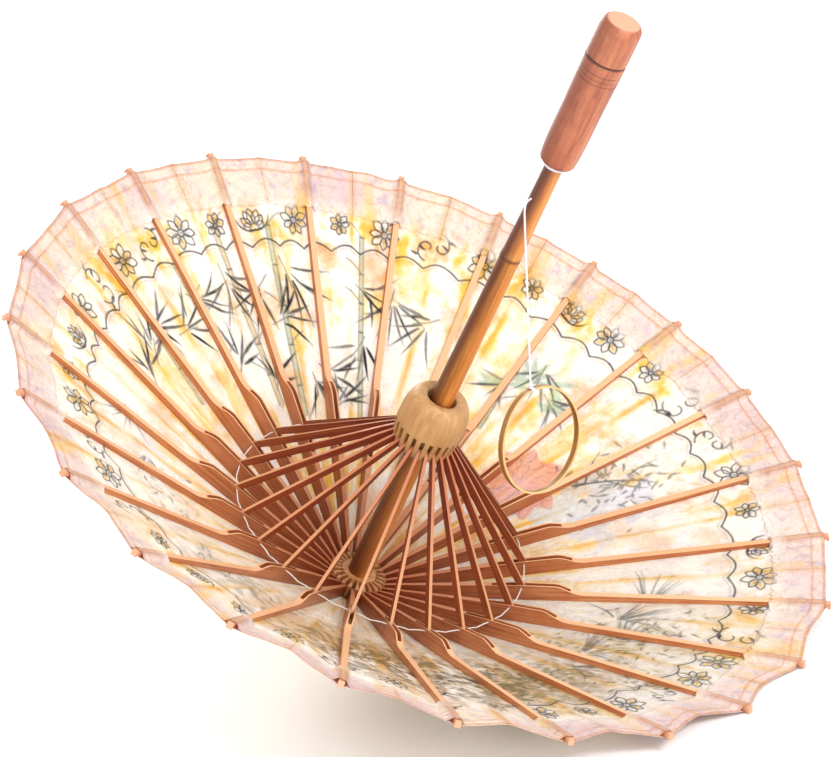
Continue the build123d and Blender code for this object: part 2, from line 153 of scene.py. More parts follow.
def tube(name, path, radius, sides=10, closed=False):
    """A round thread along a path of points, with rounded ends unless it is closed."""
    path = [Vector(p) for p in path]
    count = len(path)
    points, faces = [], []
    across = None
    for i, p in enumerate(path):
        ahead = path[(i + 1) % count] if closed or i < count - 1 else p
        behind = path[i - 1] if closed or i > 0 else p
        along = (ahead - behind).normalized()
        if across is None:
            across = along.orthogonal().normalized()
        across = (across - along * across.dot(along)).normalized()
        up = along.cross(across)
        for k in range(sides):
            angle = 2 * pi * k / sides
            points.append(p + (across * cos(angle) + up * sin(angle)) * radius)
    rings = count if closed else count - 1
    for i in range(rings):
        for k in range(sides):
            this, following = i * sides, (i + 1) % count * sides
            faces.append(
                (this + k, this + (k + 1) % sides, following + (k + 1) % sides, following + k)
            )
    if not closed:
        for i, step in ((0, -1), (count - 1, 1)):
            end = path[i] + (path[i] - path[i - step]).normalized() * radius * 0.7
            points.append(end)
            for k in range(sides):
                pair = (i * sides + k, i * sides + (k + 1) % sides)
                faces.append((*(pair if step > 0 else pair[::-1]), len(points) - 1))
    return mesh_object(name, points, faces)


# --- the string that the closing ring hangs from ---
STRING_LENGTH, STRING = 0.133, 0.0013
EXIT = (0.09325, -0.00658, 0.32276)
PLUMB = (0.09113, -0.01241)
KNOT_HEIGHT, RING_TOP_HEIGHT = 0.19286, 0.19076
string_points = [
    EXIT,
    (0.09209, -0.00978, 0.32206),
    (0.09137, -0.01175, 0.31936),
    (*PLUMB, 0.31436),
    (*PLUMB, 0.30936),
    (*PLUMB, KNOT_HEIGHT),
]
string_curve = bpy.data.curves.new("string", "CURVE")
string_curve.dimensions = "3D"
# Blender adds a point's radius to the curve's box, so that is small and the bevel makes up for it
POINT_RADIUS = 0.001
string_curve.bevel_depth = STRING / 2 / POINT_RADIUS
string_curve.bevel_resolution = 3
string_curve.resolution_u = 16
string_curve.use_fill_caps = True
spline = string_curve.splines.new("NURBS")
spline.points.add(len(string_points) - 1)
for point, place_at in zip(spline.points, string_points):
    point.co = (*place_at, 1)
    point.radius = POINT_RADIUS
spline.order_u = 3
spline.use_endpoint_u = True
string = add_object("string", string_curve)
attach(string, "string")
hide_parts("ring_cord")

# the knot over the ring: one tight overhand turn
KNOT_POINTS, KNOT_REACH = 60, 0.00095
knot_path = []
for i in range(KNOT_POINTS):
    t = 2 * pi * i / KNOT_POINTS
    wide = 1.15 + 0.5 * cos(3 * t)
    knot_path.append(
        (
            PLUMB[0] + KNOT_REACH * wide * cos(2 * t),
            PLUMB[1] + KNOT_REACH * wide * sin(2 * t),
            KNOT_HEIGHT + 0.0002 + 0.0009 * sin(3 * t),
        )
    )
string_knot = tube("string_knot", knot_path, 0.00058, closed=True)
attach(string_knot, "string")


# --- material helpers ---
def add_node(tree, kind, inputs=None, **props):
    made = tree.nodes.new(kind)
    for key, value in props.items():
        setattr(made, key, value)
    for key, value in (inputs or {}).items():
        if isinstance(value, bpy.types.NodeSocket):
            tree.links.new(value, made.inputs[key])
        else:
            made.inputs[key].default_value = value
    return made


def coordinates(tree):
    return add_node(tree, "ShaderNodeTexCoord").outputs


def maths(tree, operation, *values):
    inputs = dict(enumerate(values))
    return add_node(tree, "ShaderNodeMath", inputs, operation=operation).outputs[0]


def times(tree, first, second):
    return maths(tree, "MULTIPLY", first, second)


def gap(tree, first, second):
    """How far apart two values are."""
    return maths(tree, "ABSOLUTE", maths(tree, "SUBTRACT", first, second))


def vector(tree, x, y, z):
    return add_node(tree, "ShaderNodeCombineXYZ", {"X": x, "Y": y, "Z": z}).outputs[0]


def stretched(tree, position, factors):
    return add_node(
        tree, "ShaderNodeVectorMath", {0: position, 1: factors}, operation="MULTIPLY"
    ).outputs[0]


def noise(tree, position, scale, detail=3.0, roughness=0.5, distortion=0.0):
    inputs = {
        "Vector": position, "Scale": scale, "Detail": detail,
        "Roughness": roughness, "Distortion": distortion,
    }
    return add_node(tree, "ShaderNodeTexNoise", inputs).outputs[0]


def ramp(tree, amount, *stops):
    made = add_node(tree, "ShaderNodeValToRGB", {0: amount})
    elements = made.color_ramp.elements
    while len(elements) < len(stops):
        elements.new(1.0)
    for element, (position, colour) in zip(elements, stops):
        element.position = position
        element.color = colour
    return made.outputs[0]


def mixed(tree, amount, first, second, blend="MIX"):
    made = add_node(
        tree, "ShaderNodeMix", {0: amount, 6: first, 7: second}, data_type="RGBA", blend_type=blend
    )
    return made.outputs[2]


def shaded(tree, amount, colour, shade):
    return mixed(tree, amount, colour, shade, "MULTIPLY")


def ranged(tree, value, start, end, low=0.0, high=1.0):
    """Low where the value is at start, high where it is at end, and even in between."""
    return add_node(
        tree, "ShaderNodeMapRange", {0: value, 1: start, 2: end, 3: low, 4: high}
    ).outputs[0]


def scaled(tree, value, low, high):
    return ranged(tree, value, 0.0, 1.0, low, high)


def bumped(tree, height, strength, distance):
    return add_node(
        tree, "ShaderNodeBump", {"Height": height, "Strength": strength, "Distance": distance}
    ).outputs[0]


def new_material(name, **constants):
    """A material with a Principled shader, whose constants are set on its own sockets."""
    made = bpy.data.materials.new(name)
    made.use_nodes = True
    tree = made.node_tree
    tree.nodes.clear()
    shader = add_node(tree, "ShaderNodeBsdfPrincipled")
    output = add_node(tree, "ShaderNodeOutputMaterial")
    tree.links.new(shader.outputs[0], output.inputs[0])
    for key, value in constants.items():
        shader.inputs[key.replace("_", " ")].default_value = value
    return made, tree, shader, output


def dress(tree, shader, colour, roughness, normal):
    for key, socket in (("Base Color", colour), ("Roughness", roughness), ("Normal", normal)):
        tree.links.new(socket, shader.inputs[key])


def give(material, *names):
    for name in names:
        target = nodes[name]
        target.data.materials.clear()
        target.data.materials.append(material)


# places on the umbrella, for the materials: the same at every pose, because they are at rest
space = bpy.data.node_groups.new("umbrella_space", "ShaderNodeTree")
own = add_node(
    space, "ShaderNodeMapping",
    {"Vector": coordinates(space)["Object"], "Location": UMBRELLA_AT, "Rotation": (0, LEAN, 0)},
    vector_type="TEXTURE",
).outputs[0]
facing = add_node(
    space, "ShaderNodeMapping", {"Vector": coordinates(space)["Normal"], "Rotation": (0, LEAN, 0)},
    vector_type="TEXTURE",
).outputs[0]
x_own, y_own, z_own = add_node(space, "ShaderNodeSeparateXYZ", {0: own}).outputs
x_facing, y_facing, _ = add_node(space, "ShaderNodeSeparateXYZ", {0: facing}).outputs
radius_own = maths(
    space, "SQRT", maths(space, "ADD", times(space, x_own, x_own), times(space, y_own, y_own))
)
angle_own = maths(space, "ARCTAN2", y_own, x_own)
spokes = maths(space, "DIVIDE", angle_own, PITCH)
from_spoke = maths(
    space, "SUBTRACT", maths(space, "FRACT", maths(space, "ADD", spokes, float(RIBS))), 0.5
)
places = {
    "Position": own,
    "Radius": radius_own,
    "Across": times(space, from_spoke, times(space, radius_own, PITCH)),
    "Height": z_own,
    "Spoke": maths(space, "FLOOR", spokes),
    "Side": gap(
        space,
        times(space, y_facing, maths(space, "COSINE", angle_own)),
        times(space, x_facing, maths(space, "SINE", angle_own)),
    ),
    "Angle": angle_own,
}
for name in places:
    kind = "NodeSocketVector" if name == "Position" else "NodeSocketFloat"
    space.interface.new_socket(name, in_out="OUTPUT", socket_type=kind)
add_node(space, "NodeGroupOutput", places)


def umbrella_space(tree):
    return add_node(tree, "ShaderNodeGroup", node_tree=space).outputs


# --- bamboo, wood and thread materials ---
def spoke_bamboo(name, rise, dark, middle, light, edge):
    """Split bamboo whose fibres run outwards, rising by rise for each unit outwards."""
    made, tree, shader, _ = new_material(name, Specular_IOR_Level=0.42, Coat_Weight=0.12)
    at = umbrella_space(tree)
    depth = maths(tree, "SUBTRACT", at["Height"], times(tree, at["Radius"], rise))
    tone = add_node(
        tree, "ShaderNodeTexWhiteNoise", {"W": at["Spoke"]}, noise_dimensions="1D"
    ).outputs[0]
    along = maths(tree, "ADD", at["Radius"], times(tree, tone, 3.0))
    place_in_wood = vector(tree, along, at["Across"], depth)
    fibre = noise(tree, stretched(tree, place_in_wood, (14.0, 1700.0, 1100.0)), 1.0, 4.0, 0.62)
    stain = noise(tree, place_in_wood, 34.0, 3.0, 0.6)
    wood = ramp(tree, fibre, (0.30, dark), (0.52, middle), (0.72, light))
    wood = shaded(tree, scaled(tree, stain, -0.3, 1.0), wood, srgb(206, 158, 122))
    # faces that do not look sideways are paler: partly the split bamboo's own pale edge, partly
    # painted light
    lit = maths(tree, "POWER", maths(tree, "SUBTRACT", 1.0, at["Side"]), 0.6)
    pale = mixed(tree, scaled(tree, fibre, 0.0, 0.7), edge, light)
    face = mixed(tree, times(tree, lit, 0.92), wood, pale)
    face = shaded(tree, scaled(tree, tone, 0.0, 0.45), face, srgb(226, 190, 160))
    # painted shade: darker towards the hub and the runner, where the spokes crowd together
    root = ranged(tree, at["Radius"], 0.02, 0.15, 0.85, 0.0)
    face = shaded(tree, root, face, srgb(184, 112, 80))
    tip = ranged(tree, at["Radius"], 0.292, 0.2985, 0.0, 0.8)
    face = mixed(tree, tip, face, srgb(200, 142, 112))
    dress(
        tree, shader, face, scaled(tree, fibre, 0.34, 0.55), bumped(tree, fibre, 0.25, 0.0004)
    )
    return made


rib_bamboo = spoke_bamboo(
    "rib_bamboo", tan(SLOPE),
    srgb(150, 82, 46), srgb(202, 134, 86), srgb(224, 166, 118), srgb(238, 190, 148),
)
stretcher_bamboo = spoke_bamboo(
    "stretcher_bamboo", -0.937,
    srgb(112, 52, 32), srgb(166, 90, 54), srgb(204, 136, 88), srgb(240, 196, 146),
)
give(rib_bamboo, *(n for n in nodes if n.startswith("rib_")))
give(stretcher_bamboo, *(n for n in nodes if n.startswith("stretcher_")))


def painted_shade_side(tree, angle, clouds, start, end):
    """How deep the painted shade is on the side at 215 degrees, with a clouded edge."""
    towards = maths(tree, "COSINE", maths(tree, "SUBTRACT", angle, radians(215)))
    clouded = maths(tree, "MULTIPLY_ADD", towards, 0.5, times(tree, clouds, 0.5))
    return ranged(tree, clouded, start, end)


def culm_bamboo():
    """The varnished shaft: long fibres, a node scar, darker flecks and painted shade down one side.
    """
    made, tree, shader, _ = new_material(
        "shaft_bamboo", Coat_Weight=0.28, Coat_Roughness=0.16, Specular_IOR_Level=0.4
    )
    at = umbrella_space(tree)
    fibre = noise(tree, stretched(tree, at["Position"], (620.0, 620.0, 16.0)), 1.0, 5.0, 0.6)
    blotch = noise(tree, stretched(tree, at["Position"], (90.0, 90.0, 14.0)), 1.0, 3.0, 0.55)
    wood = ramp(
        tree, fibre,
        (0.20, srgb(168, 98, 38)), (0.50, srgb(204, 134, 62)), (0.82, srgb(230, 172, 96)),
    )
    wood = shaded(tree, scaled(tree, blotch, -0.3, 0.9), wood, srgb(214, 146, 96))
    # painted shade down one side of the shaft, darkest towards 215 degrees
    side_shade = painted_shade_side(tree, at["Angle"], blotch, 0.08, 0.62)
    wood = mixed(tree, times(tree, side_shade, 0.92), wood, srgb(74, 28, 12))
    scar = ranged(tree, gap(tree, at["Height"], SHAFT_SCAR_HEIGHT), 0.0004, 0.0022, 1.0, 0.0)
    wood = mixed(tree, times(tree, scar, 0.75), wood, srgb(74, 34, 18))
    normal = bumped(tree, maths(tree, "SUBTRACT", fibre, scar), 0.10, 0.0004)
    dress(tree, shader, wood, scaled(tree, blotch, 0.24, 0.46), normal)
    return made


def turned_wood(name, dark, middle, light, shade, grooves=(), **constants):
    """Turned wood: long grain along the shaft, fine tool rings round it and dark grooves, with
    painted shade down one side of the grip.
    """
    made, tree, shader, _ = new_material(name, **constants)
    at = umbrella_space(tree)
    grain_at = stretched(tree, at["Position"], (260.0, 260.0, 26.0))
    grain = noise(tree, grain_at, 1.0, 5.0, 0.6, 0.6)
    ring = noise(tree, vector(tree, 0.0, 0.0, times(tree, at["Height"], 1500.0)), 1.0, 2.0)
    wash = noise(tree, at["Position"], 42.0, 3.0, 0.6)
    wood = ramp(tree, grain, (0.22, dark), (0.52, middle), (0.80, light))
    wood = shaded(tree, scaled(tree, ring, 0.0, 0.16), wood, dark)
    wood = shaded(tree, scaled(tree, wash, -0.35, 0.95), wood, shade)
    if grooves:
        # painted shade down one side of the grip
        side_shade = painted_shade_side(tree, at["Angle"], wash, 0.20, 0.75)
        wood = mixed(tree, times(tree, side_shade, 0.80), wood, dark)
        # the bare end of the grip
        end = ranged(tree, at["Radius"], 0.0118, 0.0104, 0.0, 0.8)
        end = times(tree, end, maths(tree, "GREATER_THAN", at["Height"], 0.480))
        wood = mixed(tree, end, wood, srgb(232, 168, 136))
    for height, wide, share in grooves:
        line = ranged(tree, gap(tree, at["Height"], height), 0.4 * wide, wide, share, 0.0)
        wood = mixed(tree, line, wood, srgb(58, 26, 16))
    normal = bumped(tree, maths(tree, "ADD", ring, grain), 0.08, 0.0003)
    dress(tree, shader, wood, scaled(tree, grain, 0.36, 0.60), normal)
    return made


# height, half width and depth of colour of the grip's grooves
GRIP_GROOVES = (
    (0.4555, 0.0013, 0.95), (0.448, 0.0005, 0.6), (0.4445, 0.0005, 0.5), (0.441, 0.0005, 0.45),
    (0.3712, 0.0010, 0.7),
)
grip_wood = turned_wood(
    "grip_wood", srgb(120, 60, 40), srgb(184, 112, 78), srgb(212, 146, 106), srgb(222, 172, 146),
    GRIP_GROOVES, Coat_Weight=0.18, Coat_Roughness=0.35,
)
runner_wood = turned_wood(
    "turned_wood", srgb(168, 124, 80), srgb(190, 148, 100), srgb(208, 170, 122), srgb(226, 196, 156)
)
hub_wood = turned_wood(
    "hub_wood", srgb(150, 96, 56), srgb(196, 142, 92), srgb(220, 176, 126), srgb(214, 166, 118)
)
give(culm_bamboo(), "shaft")
give(grip_wood, "grip")
give(runner_wood, "runner")
give(hub_wood, "hub")


def ring_strip():
    """Dark bamboo skin with pale split edges."""
    made, tree, shader, _ = new_material("ring_bamboo", Coat_Weight=0.25, Coat_Roughness=0.3)
    at = coordinates(tree)["Object"]
    centre = add_node(
        tree, "ShaderNodeVectorMath", {0: at, 1: (*PLUMB, RING_TOP_HEIGHT - 0.039)},
        operation="SUBTRACT",
    ).outputs[0]
    parts = add_node(tree, "ShaderNodeSeparateXYZ", {0: centre}).outputs
    # the strip's width runs along the ring's axis
    wide = maths(
        tree, "ADD",
        times(tree, parts[0], cos(RING_AZIMUTH)), times(tree, parts[1], sin(RING_AZIMUTH)),
    )
    edge = ranged(tree, maths(tree, "ABSOLUTE", wide), 0.0015, 0.0024)
    fibre_at = vector(
        tree, times(tree, wide, 2600.0), times(tree, parts[1], 60.0), times(tree, parts[2], 60.0)
    )
    fibre = noise(tree, fibre_at, 1.0, 4.0, 0.6)
    skin = ramp(
        tree, fibre,
        (0.30, srgb(104, 62, 22)), (0.55, srgb(148, 98, 42)), (0.75, srgb(182, 130, 66)),
    )
    skin = mixed(tree, times(tree, edge, 0.85), skin, srgb(216, 178, 116))
    dress(tree, shader, skin, scaled(tree, fibre, 0.3, 0.5), bumped(tree, fibre, 0.2, 0.0003))
    return made


def cotton(name, colour, shade, twist):
    """Twisted thread: fine slanting strands and a little fuzz."""
    made, tree, shader, _ = new_material(name, Sheen_Weight=0.3, Sheen_Roughness=0.6)
    at = coordinates(tree)["Object"]
    wave = add_node(
        tree, "ShaderNodeTexWave",
        {"Vector": at, "Scale": twist, "Distortion": 1.5, "Detail": 2.0},
        bands_direction="DIAGONAL",
    ).outputs["Fac"]
    fuzz = noise(tree, at, 1600.0, 2.0)
    strand = mixed(tree, scaled(tree, wave, 0.0, 0.55), colour, shade)
    strand = mixed(tree, scaled(tree, fuzz, 0.0, 0.25), strand, shade)
    dress(tree, shader, strand, scaled(tree, fuzz, 0.7, 0.95), bumped(tree, wave, 0.6, 0.0002))
    return made


def lacquer():
    """Brushed dark lacquer over paper folds."""
    made, tree, shader, _ = new_material("lacquered_paper", Coat_Weight=0.6, Coat_Roughness=0.15)
    at = umbrella_space(tree)
    fold = maths(tree, "SINE", times(tree, at["Angle"], 2.0 * RIBS))
    mottling = noise(tree, at["Position"], 130.0, 4.0, 0.6)
    coat = ramp(
        tree, mottling,
        (0.30, srgb(60, 22, 14)), (0.55, srgb(104, 44, 26)), (0.78, srgb(140, 70, 40)),
    )
    normal = bumped(tree, maths(tree, "ADD", fold, mottling), 0.35, 0.0004)
    dress(tree, shader, coat, scaled(tree, mottling, 0.22, 0.45), normal)
    return made


string_cotton = cotton("cotton_string", srgb(240, 238, 246), srgb(186, 184, 204), 700.0)
thread_cotton = cotton("cotton_thread", srgb(240, 234, 226), srgb(190, 178, 170), 900.0)
give(ring_strip(), "closing_ring")
give(lacquer(), "crown_cap")
give(thread_cotton, "hub_thread", "runner_thread")
string.data.materials.append(string_cotton)
string_knot.data.materials.append(string_cotton)

# --- the painting: drawn on a plan of the canopy, then carried to the paper's points ---
PLAN, PLAN_STEP = 1240, 0.0005      # cells to a side, and metres to a cell
plan_axis = (np.arange(PLAN) - PLAN / 2 + 0.5) * PLAN_STEP
plan_x, plan_y = np.meshgrid(plan_axis, plan_axis, indexing="ij")
plan_radius = np.hypot(plan_x, plan_y)
plan_angle = np.arctan2(plan_y, plan_x)
ink = np.zeros((PLAN, PLAN))
tint = np.zeros((PLAN, PLAN, 3))
tint_share = np.zeros((PLAN, PLAN))


def eased(share):
    """A share from 0 to 1 with a soft start and end."""
    return share * share * (3 - 2 * share)


def bell(distance, width):
    """1 at no distance, and falling to about a third at the width."""
    return np.exp(-((distance / width) ** 2))


def above(values, level, gain):
    """How far the values are over a level, from 0 to 1."""
    return np.clip((values - level) * gain, 0, 1)


def blended(grid, i, following, j, u, v):
    """Values of a grid between its rows i and following and its columns j and j + 1."""
    return (
        grid[i, j] * (1 - u) * (1 - v) + grid[following, j] * u * (1 - v)
        + grid[i, j + 1] * (1 - u) * v + grid[following, j + 1] * u * v
    )


def cloud(cell):
    """Smooth random patches about cell metres across, from 0 to 1."""
    count = int(PLAN * PLAN_STEP / cell) + 3
    coarse = rng.random((count, count))
    position = np.arange(PLAN) * PLAN_STEP / cell
    whole = position.astype(int)
    part = eased(position - whole)
    rows = coarse[whole] * (1 - part[:, None]) + coarse[whole + 1] * part[:, None]
    return rows[:, whole] * (1 - part) + rows[:, whole + 1] * part


def polar_cloud(around, step):
    """Random streaks that run outwards, from 0 to 1."""
    coarse = rng.random((around, int(0.46 / step) + 3))
    turn = np.mod(plan_angle / (2 * pi), 1.0) * around
    out = plan_radius / step
    i, j = turn.astype(int) % around, out.astype(int)
    return blended(coarse, i, (i + 1) % around, j, eased(turn - np.floor(turn)), eased(out - j))


def window(low, high):
    """The cells of the plan between two corners."""
    first = [max(0, int(v / PLAN_STEP + PLAN / 2)) for v in low]
    last = [min(PLAN, int(v / PLAN_STEP + PLAN / 2) + 2) for v in high]
    return slice(first[0], last[0]), slice(first[1], last[1])


def brush(points, widths, strength=0.85, colour=None):
    """One line along points in the plan, with its width at each point, in ink or in a colour."""
    points = np.asarray(points, float)
    widths = np.broadcast_to(np.asarray(widths, float), len(points)) / 2
    for a, b, wide_a, wide_b in zip(points, points[1:], widths, widths[1:]):
        margin = max(wide_a, wide_b) + 0.001
        here = window(np.minimum(a, b) - margin, np.maximum(a, b) + margin)
        dx, dy = plan_x[here] - a[0], plan_y[here] - a[1]
        run = b - a
        share = np.clip((dx * run[0] + dy * run[1]) / max(run @ run, 1e-12), 0, 1)
        distance = np.hypot(dx - share * run[0], dy - share * run[1])
        wide = wide_a + (wide_b - wide_a) * share
        cover = np.clip((wide - distance) / 0.0007 + 0.5, 0, 1) * strength
        if colour is None:
            ink[here] = np.maximum(ink[here], cover)
        else:
            keep = tint_share[here] < cover
            tint[here][keep] = colour[:3]
            tint_share[here] = np.maximum(tint_share[here], cover)


class Spot:
    """A place on the plan with its own directions: up points away from the shaft."""

    def __init__(self, azimuth, radius, turn=0.0, size=1.0):
        self.at = np.array((cos(radians(azimuth)), sin(radians(azimuth)))) * radius
        self.angle = radians(azimuth + turn)
        self.size = size

    def point(self, right, up):
        c, s = cos(self.angle), sin(self.angle)
        return self.at + self.size * np.array((up * c + right * s, up * s - right * c))

    def line(self, points, widths, strength=0.85, colour=None):
        brush([self.point(*p) for p in points], widths, strength, colour)


def curve(start, angle, length, bend, steps=8):
    """Points along an arc that starts in a direction from up and bends evenly."""
    points, x, y = [start], *start
    for i in range(steps):
        angle += bend / steps
        x += length / steps * sin(angle)
        y += length / steps * cos(angle)
        points.append((x, y))
    return points


def petal(spot, turn, inner, outer, half, strength):
    """One pointed petal: a pale fill, two outlines and a vein."""
    way, aside_way = np.array((sin(turn), cos(turn))), np.array((cos(turn), -sin(turn)))
    fill = srgb(253, 250, 244) if rng.random() < 0.6 else srgb(248, 208, 112)
    spot.line([way * (inner + 0.2 * outer), way * 0.72 * outer], (half, 1.1 * half), 0.8, fill)
    for side in (-1, 1):
        outline = []
        for i in range(10):
            t = i / 9
            aside = side * half * sin(pi * min(1.0, 0.10 + 0.90 * t)) ** 0.8
            outline.append(way * (inner + (outer - inner) * t) + aside_way * aside)
        spot.line(outline, 0.0009, strength)
    spot.line([way * (inner * 1.1), way * (inner + 0.5 * (outer - inner))], 0.0006, 0.5)


def flower(spot, petals, reach, strength=1.0):
    """An open flower seen from the front."""
    for k in range(petals):
        turn = 2 * pi * k / petals + rng.normal(0, 0.06)
        size = reach * rng.uniform(0.88, 1.08)
        petal(spot, turn, 0.24 * size, size, 0.62 * pi / petals * size, strength)
    heart = [(0.2 * reach * cos(a), 0.2 * reach * sin(a)) for a in np.linspace(0, 2 * pi, 11)]
    spot.line(heart, 0.0011, strength)
    spot.line([(0, 0), (0.0002, 0)], 0.14 * reach, 0.7)


def lotus(spot, reach, strength=1.0):
    """A flower seen from the side, over two curled leaves."""
    for k in (-3, 3, -2, 2, -1, 1, 0):
        turn = k * 0.42 + rng.normal(0, 0.04)
        petal(spot, turn, 0.20 * reach, reach * (1 - 0.045 * k * k), 0.20 * reach, strength)
    for hand in (-1, 1):
        spot.line(
            curve((0, -0.1 * reach), hand * 1.9, 1.25 * reach, -hand * 1.6, 9),
            (0.0016, 0.0015, 0.0014, 0.0013, 0.0012, 0.0012, 0.0011, 0.001, 0.0008, 0.0006),
            strength,
        )


def scroll(spot, hand, length, strength=0.85):
    """A curling tendril with a bud."""
    points = []
    for i in range(26):
        t = i / 25
        turn = hand * (0.4 + 4.6 * t)
        reach = length * (1 - 0.82 * t) * 0.5
        points.append((hand * length * 0.25 + reach * sin(turn), reach * cos(turn)))
    spot.line(points, 0.0012, strength)
    for side, start in ((1, 4), (-1, 9)):
        stem = curve(points[start], hand * (0.6 + side * 0.9), length * 0.34, side * 0.9, 5)
        spot.line(stem, (0.0008, 0.0019, 0.0021, 0.0016, 0.0011, 0.0005), strength)


def leaf(spot, start, angle, length, width, bend, strength, colour=None):
    """One stroke that swells and comes to a point: a leaf, a petal or a dab."""
    points = curve(start, angle, length, bend, 9)
    profile = [sin(pi * min(1, 0.06 + 0.94 * i / 9) ** 0.72) for i in range(10)]
    spot.line(points, [max(0.0002, width * p) for p in profile], strength, colour)


def leaf_spray(azimuth, radius, turn, size, count=6, strength=0.9):
    """A fan of long bamboo leaves that droops to one side of a twig."""
    spot = Spot(azimuth, radius, turn + 180, size)
    spot.line(curve((0, -0.014), 0, 0.020, 0.3, 3), 0.0008, strength * 0.8)
    for k in range(count):
        share = (k + rng.uniform(0.2, 0.8)) / count - 0.5
        length = rng.uniform(0.022, 0.036) * (1 - 0.5 * abs(share))
        leaf(
            spot, (0.010 * share, rng.uniform(-0.008, 0.004)), 2.2 * share, length,
            rng.uniform(0.0014, 0.0026), 0.5 * share + rng.uniform(-0.25, 0.25),
            strength * rng.uniform(0.7, 1.08),
        )


def stalk(azimuth, near, far, lean_by, width, tone, strength=0.5):
    """A jointed bamboo stalk that grows outwards."""
    spot = Spot(azimuth, near, lean_by)
    y = 0.0
    while near + y < far:
        step = rng.uniform(0.020, 0.030)
        spot.line([(0, y + 0.0012), (0, y + step - 0.0012)], width, strength, tone)
        for side in (-0.5, 0.5):
            spot.line(
                [(side * width, y + 0.001), (side * width, y + step - 0.001)], 0.0007, 0.62
            )
        spot.line([(-0.6 * width, y + step), (0.6 * width, y + step)], 0.0012, 0.7)
        if rng.random() < 0.7:
            side = rng.choice((-1, 1))
            twig = curve((0, y + step), side * 0.6, 0.016, side * 0.5, 5)
            spot.line(twig, 0.0008, 0.7)
        y += step


# the border: a waved line, then flowers and scrolls, set a little off centre
def border_radius(azimuth):
    return 0.2525 + 0.0085 * np.cos(azimuth - radians(85))


wave_angle = np.linspace(0, 2 * pi, 2161)
for offset, width, strength in ((0.0, 0.0011, 1.0), (-0.0028, 0.0006, 0.35)):
    lobes = np.abs(np.sin(wave_angle * 30 + 0.9 * np.sin(wave_angle * 5)))
    wave_radius = border_radius(wave_angle) - 0.0185 + offset + 0.0052 * lobes
    wave_radius = wave_radius + 0.0012 * np.sin(wave_angle * 7)
    brush(
        np.stack([np.cos(wave_angle), np.sin(wave_angle)], 1) * wave_radius[:, None],
        width, strength,
    )
azimuth = 4.0
for k in range(44):
    radius = border_radius(radians(azimuth)) + rng.uniform(-0.0012, 0.0012)
    kind = (0, 3, 1, 0, 2, 1, 0, 4)[(k + k // 8) % 8]
    if kind == 0:
        flower(Spot(azimuth, radius, rng.uniform(0, 40)), 8, rng.uniform(0.0112, 0.0132))
    elif kind == 1:
        flower(Spot(azimuth, radius, rng.uniform(0, 60)), 7, rng.uniform(0.0078, 0.0092))
    elif kind == 2:
        lotus(Spot(azimuth, radius - 0.005, rng.uniform(-20, 20)), 0.0140)
    elif kind == 3:
        for hand in (-1, 1):
            scroll(Spot(azimuth, radius, 90), hand, 0.0200)
    else:
        scroll(Spot(azimuth, radius, 20), 1, 0.0185)
        scroll(Spot(azimuth, radius, 200), 1, 0.0185)
    azimuth += 8.18 * rng.uniform(0.9, 1.1)

# washes of colour under the ink: ground, bamboo, rocks, water and one blossom
YELLOW_STALK = srgb(206, 182, 90)
GREEN_STALK = srgb(170, 178, 120)
for azimuth, near, far, lean_by, width, tone in (
    (160, 0.128, 0.232, 3, 0.0046, YELLOW_STALK),
    (152, 0.120, 0.226, -2, 0.0038, GREEN_STALK),
    (171, 0.135, 0.222, 5, 0.0036, YELLOW_STALK),
    (131, 0.115, 0.226, 4, 0.0034, GREEN_STALK),
    (190, 0.150, 0.215, -8, 0.0032, YELLOW_STALK),
    (96, 0.150, 0.215, 6, 0.0030, GREEN_STALK),
):
    stalk(azimuth, near, far, lean_by, width, tone)
for azimuth, radius, turn, size, count in (
    (163, 0.214, 10, 1.05, 7), (156, 0.206, -40, 1.1, 6), (148, 0.216, 30, 1.15, 7),
    (151, 0.190, 120, 1.0, 6), (171, 0.208, 60, 1.0, 6), (178, 0.196, 100, 1.1, 6),
    (186, 0.206, 80, 1.0, 6), (192, 0.200, 140, 1.05, 6), (198, 0.192, 150, 0.9, 5),
    (140, 0.150, 60, 0.9, 6), (133, 0.168, -20, 1.0, 6), (126, 0.206, 0, 1.05, 7),
    (131, 0.212, 70, 0.9, 5), (119, 0.200, -50, 1.05, 6), (138, 0.133, 140, 0.8, 6),
    (168, 0.165, 150, 0.9, 5), (158, 0.150, 160, 0.8, 5), (145, 0.140, 20, 0.8, 5),
    (92, 0.206, 20, 0.9, 6), (86, 0.196, 80, 0.85, 6), (98, 0.186, -30, 0.8, 5),
):
    leaf_spray(azimuth, radius, turn, size, count, 0.75 if azimuth < 100 else 0.95)
for azimuth, radius, size in ((92, 0.203, 1.0), (86, 0.190, 0.9), (97, 0.190, 0.8)):
    spot = Spot(azimuth, radius, 30, size)
    for k in range(7):
        leaf(
            spot, (rng.uniform(-0.01, 0.01), 0), rng.uniform(-2, 2), 0.022, 0.005,
            0.3, 0.5, srgb(150, 196, 160),
        )

# reeds and grass tufts near the lower edge
for azimuth, radius, count in (
    (14, 0.178, 15), (6, 0.186, 15), (-3, 0.176, 13), (22, 0.190, 11), (-12, 0.184, 11),
    (-40, 0.188, 9), (-60, 0.192, 8), (215, 0.196, 7), (228, 0.188, 6),
):
    spot = Spot(azimuth, radius, rng.uniform(-20, 20) + 60)
    for k in range(count):
        side = rng.normal(0, 0.55)
        blade = curve((side * 0.006, 0), side, rng.uniform(0.016, 0.040), side * 0.8, 7)
        spot.line(blade, (0.0012, 0.0014, 0.0013, 0.0012, 0.001, 0.0008, 0.0006, 0.0003),
                  rng.uniform(0.35, 0.75))

